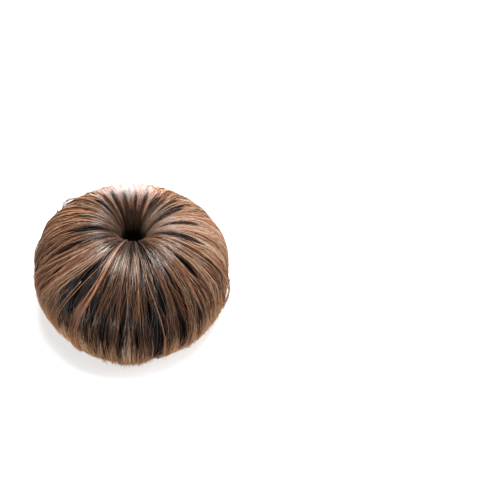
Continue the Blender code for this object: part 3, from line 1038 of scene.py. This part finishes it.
def core_mesh():
    """Body of hair under the strands, painted near black as shade: a hollow shell with fine ridges."""
    outer_arc = np.linspace(ARC_START + 2.0 * MM, ARC_END, 70)
    angle = (np.arange(CORE_TURNS) * math.tau / CORE_TURNS)[:, None]
    radius, height, across, up = section(outer_arc[None, :], angle)
    sink = (CORE_SINK + CORE_SIDE_SINK * smooth_step(outer_arc, -8.0 * MM, 12.0 * MM)
            - CORE_FOOT_RISE * smooth_step(outer_arc, 60.0 * MM, 72.0 * MM)) * MM
    lowered = np.maximum(height - np.maximum(up, 0.0) * sink, 0.2 * MM)
    outer = np.stack((radius - across * sink, lowered), axis=-1)
    inner_arc = np.linspace(62.0 * MM, 6.0 * MM, 24)
    radius, height, across, up = section(inner_arc[None, :], angle)
    inner = np.stack((radius - across * CORE_WALL, height - up * CORE_WALL), axis=-1)
    rounds = np.ones((CORE_TURNS, 1, 1))
    land = np.array(CORE_LAND)[None] * MM * rounds
    funnel = np.array(CORE_FUNNEL)[None] * MM * rounds
    loop = np.concatenate((outer, land, inner, funnel), axis=1)
    ridge = (0.25 * np.sin(angle * 97.0) + 0.25 * np.sin(angle * 61.0 + 1.3)
             + 0.2 * np.sin(angle * 143.0 + 0.4))
    size = loop.shape[1]
    weight = np.zeros(size)
    weight[:len(outer_arc)] = smooth_step(outer_arc, -8.0 * MM, 10.0 * MM)
    radii = loop[:, :, 0] + ridge * weight[None, :] * CORE_RIDGE
    verts = round_axis(radii, angle, loop[:, :, 1])
    first, following, across_above, above = ring_quads(CORE_TURNS, size, size)
    quads = np.stack((first, above, across_above, following), axis=-1).reshape(-1, 4)
    return mesh_from_arrays("hair_core", verts.reshape(-1, 3), quads.ravel(), np.arange(len(quads)) * 4)


# The net cap: heights in mm over the low side of the plain cap, places as shares of its radius
CAP_TURNS = 288
CAP_LIFT = 0.70
CAP_SEAMS = 7
SEAM_DEPTH = 0.16
CAP_PLEATS = 48
PLEAT_DEPTH = 0.12
HEM_DEPTH = 0.45
HEM_PLACE = 0.955
CAP_RIM = ((0.995, 0.50), (1.0, 0.25), (1.0, -0.25), (0.995, -0.45))
CAP_TOP_POINTS = 12
CAP_TOP_GAP = 0.1 * MM


def net_cap_mesh():
    """The net cap under the hair: a disc with sewn rings, fine pleats and a rolled hem underneath."""
    reach = (cap_high[0] - cap_low[0]) / 2.0
    angle = (np.arange(CAP_TURNS) * math.tau / CAP_TURNS)[:, None]
    share = np.linspace(0.03, 0.985, 66)[None, :]
    seams = SEAM_DEPTH * np.cos(share * math.tau * CAP_SEAMS) ** 8
    pleated = smooth_step(share, 0.20, 0.45) * (1.0 - smooth_step(share, 0.88, 0.92))
    pleats = PLEAT_DEPTH * np.cos(angle * CAP_PLEATS) * pleated
    hem = HEM_DEPTH * np.exp(-((share - HEM_PLACE) / 0.022) ** 2)
    lower = cap_low[2] + (CAP_LIFT - seams - pleats - hem) * MM
    rim = np.array(CAP_RIM)
    middle = (cap_low[2] + cap_high[2]) / 2.0
    half = (cap_high[2] - cap_low[2]) / 2.0
    top_height = cap_high[2] - CAP_TOP_GAP
    top = np.linspace(0.97, 0.03, CAP_TOP_POINTS)
    rounds = np.ones((CAP_TURNS, 1))
    radii = np.concatenate((share[0], rim[:, 0], top)) * reach * rounds
    heights = np.concatenate((lower * rounds, rounds * (middle - rim[:, 1] * half),
                              np.full((CAP_TURNS, CAP_TOP_POINTS), top_height)), axis=1)
    size = radii.shape[1]
    verts = round_axis(radii, angle, heights).reshape(-1, 3)
    ends = np.array([(AXIS_X, AXIS_Y, heights[0, 0]), (AXIS_X, AXIS_Y, top_height)])
    first, following, across_above, above = ring_quads(CAP_TURNS, size, size - 1)
    quads = np.stack((first, following, across_above, above), axis=-1).reshape(-1, 4)
    column = np.arange(CAP_TURNS)
    beside = (column + 1) % CAP_TURNS
    low_end = np.full(CAP_TURNS, CAP_TURNS * size)
    lower_fan = np.stack((beside * size, column * size, low_end), axis=-1)
    upper_fan = np.stack((column * size + size - 1, beside * size + size - 1, low_end + 1), axis=-1)
    fans = np.concatenate((lower_fan, upper_fan))
    corners = np.concatenate((quads.ravel(), fans.ravel()))
    starts = np.concatenate((np.arange(len(quads)) * 4, len(quads) * 4 + np.arange(len(fans)) * 3))
    return mesh_from_arrays("net_cap", np.concatenate((verts, ends)), corners, starts)


def core_material():
    # Near black: painted shade that shows through the gaps between the strands
    material, tree, shader = new_material("hair_core_painted_shade", {"Roughness": 0.7, "Specular IOR Level": 0.05})
    place = node(tree, "ShaderNodeTexCoord").outputs["Object"]
    colour = colours_of(tree, noise_over(tree, place, 60.0, 4.0),
                        (0.0, (0.006, 0.005, 0.005)), (1.0, (0.016, 0.011, 0.009)))
    tree.links.new(colour, shader.inputs["Base Color"])
    return material


def net_material():
    """A fine square weave, from two sets of bands."""
    material, tree, shader = new_material("net_weave", {"Roughness": 0.85})
    place = node(tree, "ShaderNodeTexCoord").outputs["Object"]
    weave = node(tree, "ShaderNodeMath", operation="MAXIMUM")
    for index, direction in enumerate(("X", "Y")):
        wave = node(tree, "ShaderNodeTexWave", wave_type="BANDS", bands_direction=direction)
        wave.inputs["Scale"].default_value = 260.0
        wave.inputs["Distortion"].default_value = 0.6
        tree.links.new(place, wave.inputs["Vector"])
        tree.links.new(wave.outputs["Fac"], weave.inputs[index])
    colour = colours_of(tree, weave.outputs[0], (0.0, (0.010, 0.007, 0.006)), (1.0, (0.075, 0.045, 0.032)))
    tree.links.new(colour, shader.inputs["Base Color"])
    add_relief(tree, shader, weave.outputs[0], 0.2 * MM)
    return material


def comb_material():
    material, tree, shader = new_material("moulded_comb", {"Roughness": 0.38})
    place = node(tree, "ShaderNodeTexCoord").outputs["Object"]
    grain = noise_over(tree, place, 220.0)
    colour = colours_of(tree, grain, (0.0, (0.022, 0.012, 0.008)), (1.0, (0.060, 0.034, 0.022)))
    tree.links.new(colour, shader.inputs["Base Color"])
    add_relief(tree, shader, grain, 0.05 * MM)
    return material


def dress_comb():
    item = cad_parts["comb"]
    item.data.materials.clear()
    item.data.materials.append(comb_material())


def studio_piece(name, material):
    """The object just added to the scene, moved to the studio, with its name and material."""
    item = bpy.context.active_object
    item.name = name
    for group in list(item.users_collection):
        group.objects.unlink(item)
    studio.objects.link(item)
    item.data.materials.append(material)
    item.visible_glossy = False
    return item


def build_surroundings():
    """Pale floor, and a low wall all round, far out, so that a level view sees no edge of the floor."""
    values = {"Base Color": (0.34, 0.34, 0.34, 1.0), "Roughness": 0.9, "Specular IOR Level": 0.1,
              "Emission Color": (1.0, 0.985, 0.975, 1.0), "Emission Strength": 0.67}
    material = new_material("pale_floor", values)[0]
    bpy.ops.mesh.primitive_plane_add(size=FLOOR_SIZE)
    floor = studio_piece("floor", material)
    bpy.ops.mesh.primitive_cylinder_add(vertices=96, radius=WALL_RADIUS, depth=WALL_HEIGHT,
                                        end_fill_type='NOTHING', location=(0.0, 0.0, WALL_HEIGHT / 2.0))
    wall = studio_piece("backdrop", material)


def add_area(row):
    data = bpy.data.lights.new(row["name"], 'AREA')
    data.shape = 'RECTANGLE'
    data.size, data.size_y = row["size"]
    data.energy = row["power"]
    data.color = row["colour"]
    lamp = bpy.data.objects.new(row["name"], data)
    studio.objects.link(lamp)
    lamp.location = row["location"]
    lamp.rotation_euler = (Vector(row["target"]) - lamp.location).to_track_quat('-Z', 'Y').to_euler()


def build_lights():
    world = bpy.data.worlds.new("studio_air")
    bpy.context.scene.world = world
    world.use_nodes = True
    background = world.node_tree.nodes["Background"]
    background.inputs["Color"].default_value = AIR_COLOUR
    background.inputs["Strength"].default_value = AIR_STRENGTH
    for row in LAMPS:
        add_area(row)


def basis(forward, up):
    """A direction, the up that is square to it and the side, as columns."""
    up = (up - forward * up.dot(forward)).normalized()
    return Matrix((forward, up, forward.cross(up))).transposed()


def build_camera():
    """Looks at the hair from the photo's elevation, turned so that it falls left of the frame's centre."""
    focal = LENS / SENSOR * IMAGE_PIXELS
    distance = focal / PIXELS_PER_METRE
    back = Vector((0.0, -math.cos(ELEVATION), math.sin(ELEVATION)))
    data = bpy.data.cameras.new("camera")
    data.lens = LENS
    data.sensor_width = SENSOR
    data.clip_start = 0.01
    data.clip_end = 20.0
    camera = bpy.data.objects.new("camera", data)
    studio.objects.link(camera)
    middle = IMAGE_PIXELS / 2.0
    across = (TARGET_PIXEL[0] - middle) / focal
    down = (TARGET_PIXEL[1] - middle) / focal
    local = basis(Vector((across, -down, -1.0)).normalized(), Vector((0.0, 1.0, 0.0)))
    turn = basis(-back, Vector((0.0, 0.0, 1.0))) @ local.inverted()
    camera.matrix_world = Matrix.Translation(TARGET + back * distance) @ turn.to_4x4()
    bpy.context.scene.camera = camera


def main():
    bpy.context.scene.view_settings.view_transform = 'Standard'
    build_camera()
    build_surroundings()
    build_lights()
    core = add_piece("hair_core", core_mesh(), core_material())
    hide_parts("hair_bun")
    build_strands()
    cap = add_piece("net_cap", net_cap_mesh(), net_material())
    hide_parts("base_cap")
    dress_comb()


main()
